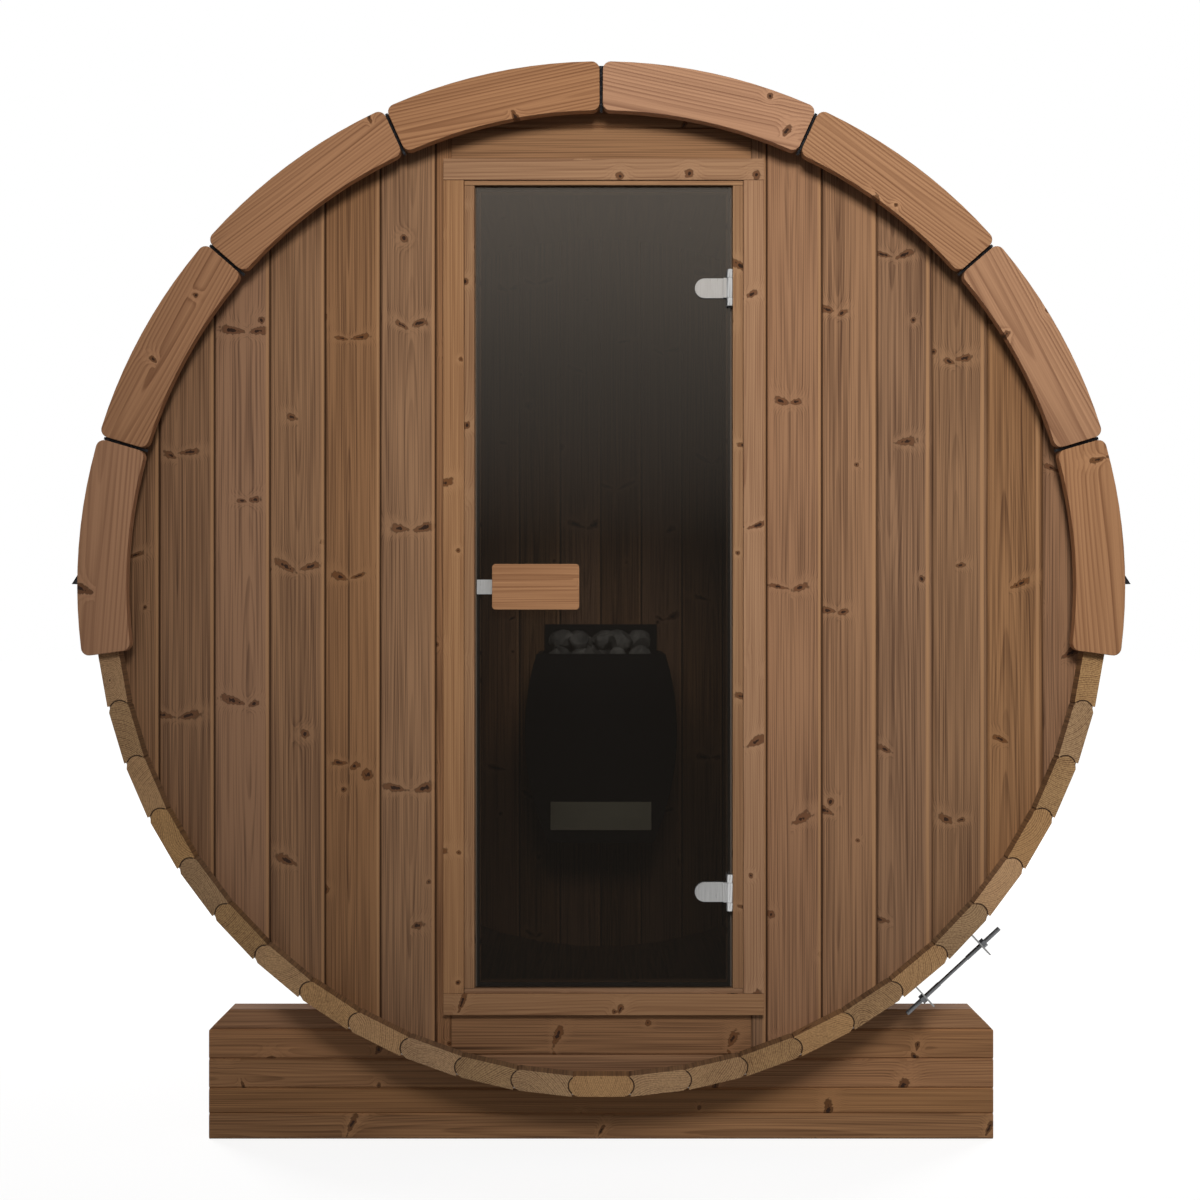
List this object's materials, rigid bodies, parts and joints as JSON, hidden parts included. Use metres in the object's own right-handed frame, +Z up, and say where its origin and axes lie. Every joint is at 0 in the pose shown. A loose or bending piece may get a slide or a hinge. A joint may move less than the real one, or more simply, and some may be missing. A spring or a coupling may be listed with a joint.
{
  "type": "barrel sauna",
  "caption": "Round timber cabin of bead-and-cove staves bound by steel bands on plank cradles, with board ends, felted roof, wall stove and a hinged glass door.",
  "frame": {"origin": "on the ground under the middle of the barrel", "axes": "+Z up, -Y out of the door, +X to the right of someone facing the door"},
  "size_m": [2.134, 1.556, 2.2217],
  "materials": {
    "stave_wood": "planed heat-treated softwood",
    "wall_wood": "planed heat-treated softwood boards",
    "frame_wood": "planed heat-treated softwood, lighter",
    "trim_wood": "planed heat-treated softwood boards",
    "cradle_wood": "darker oiled planks",
    "door_glass": "toughened tinted sheet",
    "steel": "satin stainless",
    "roof_felt": "mineral-faced bitumen felt",
    "stove_steel": "black heat-proof enamel",
    "stove_panel": "plain brushed sheet",
    "stove_stone": "rough split stones"
  },
  "bodies": {
    "barrel": {"bottom_stave": "stave_wood", "top_stave": "stave_wood", "left_lower_staves": "stave_wood", "left_middle_staves": "stave_wood", "left_upper_staves": "stave_wood", "right_lower_staves": "stave_wood", "right_middle_staves": "stave_wood", "right_upper_staves": "stave_wood", "front_wall_left": "wall_wood", "front_wall_right": "wall_wood", "door_posts": "wall_wood", "wall_above_door": "wall_wood", "wall_below_door": "wall_wood", "back_wall_left": "wall_wood", "back_wall_right": "wall_wood", "door_jamb": "frame_wood", "door_stop": "frame_wood", "door_casing": "frame_wood", "upper_hinge_bracket": "steel", "lower_hinge_bracket": "steel", "front_trim_left": "trim_wood", "front_trim_right": "trim_wood", "rear_trim_left": "trim_wood", "rear_trim_right": "trim_wood", "roof_cover": "roof_felt", "roof_drip_left": "roof_felt", "roof_drip_right": "roof_felt", "front_band": "steel", "rear_band": "steel", "front_tensioner": "steel", "rear_tensioner": "steel", "front_cradle": "cradle_wood", "rear_cradle": "cradle_wood", "stove_plate": "stove_steel", "stove_body": "stove_steel", "stove_stones": "stove_stone", "stove_panel": "stove_panel"},
    "door": {"upper_hinge_leaf": "steel", "lower_hinge_leaf": "steel", "door_glass": "door_glass", "outer_handle": "frame_wood", "inner_handle": "frame_wood", "catch_plate": "steel"}
  },
  "joints": [
    {"name": "door_swing", "type": "hinge", "parent": "barrel", "child": "door", "pos_m": [0.2605, -0.7338, 1.1705], "axis": [0, 0, 1], "range_deg": [0, 150]}
  ]
}
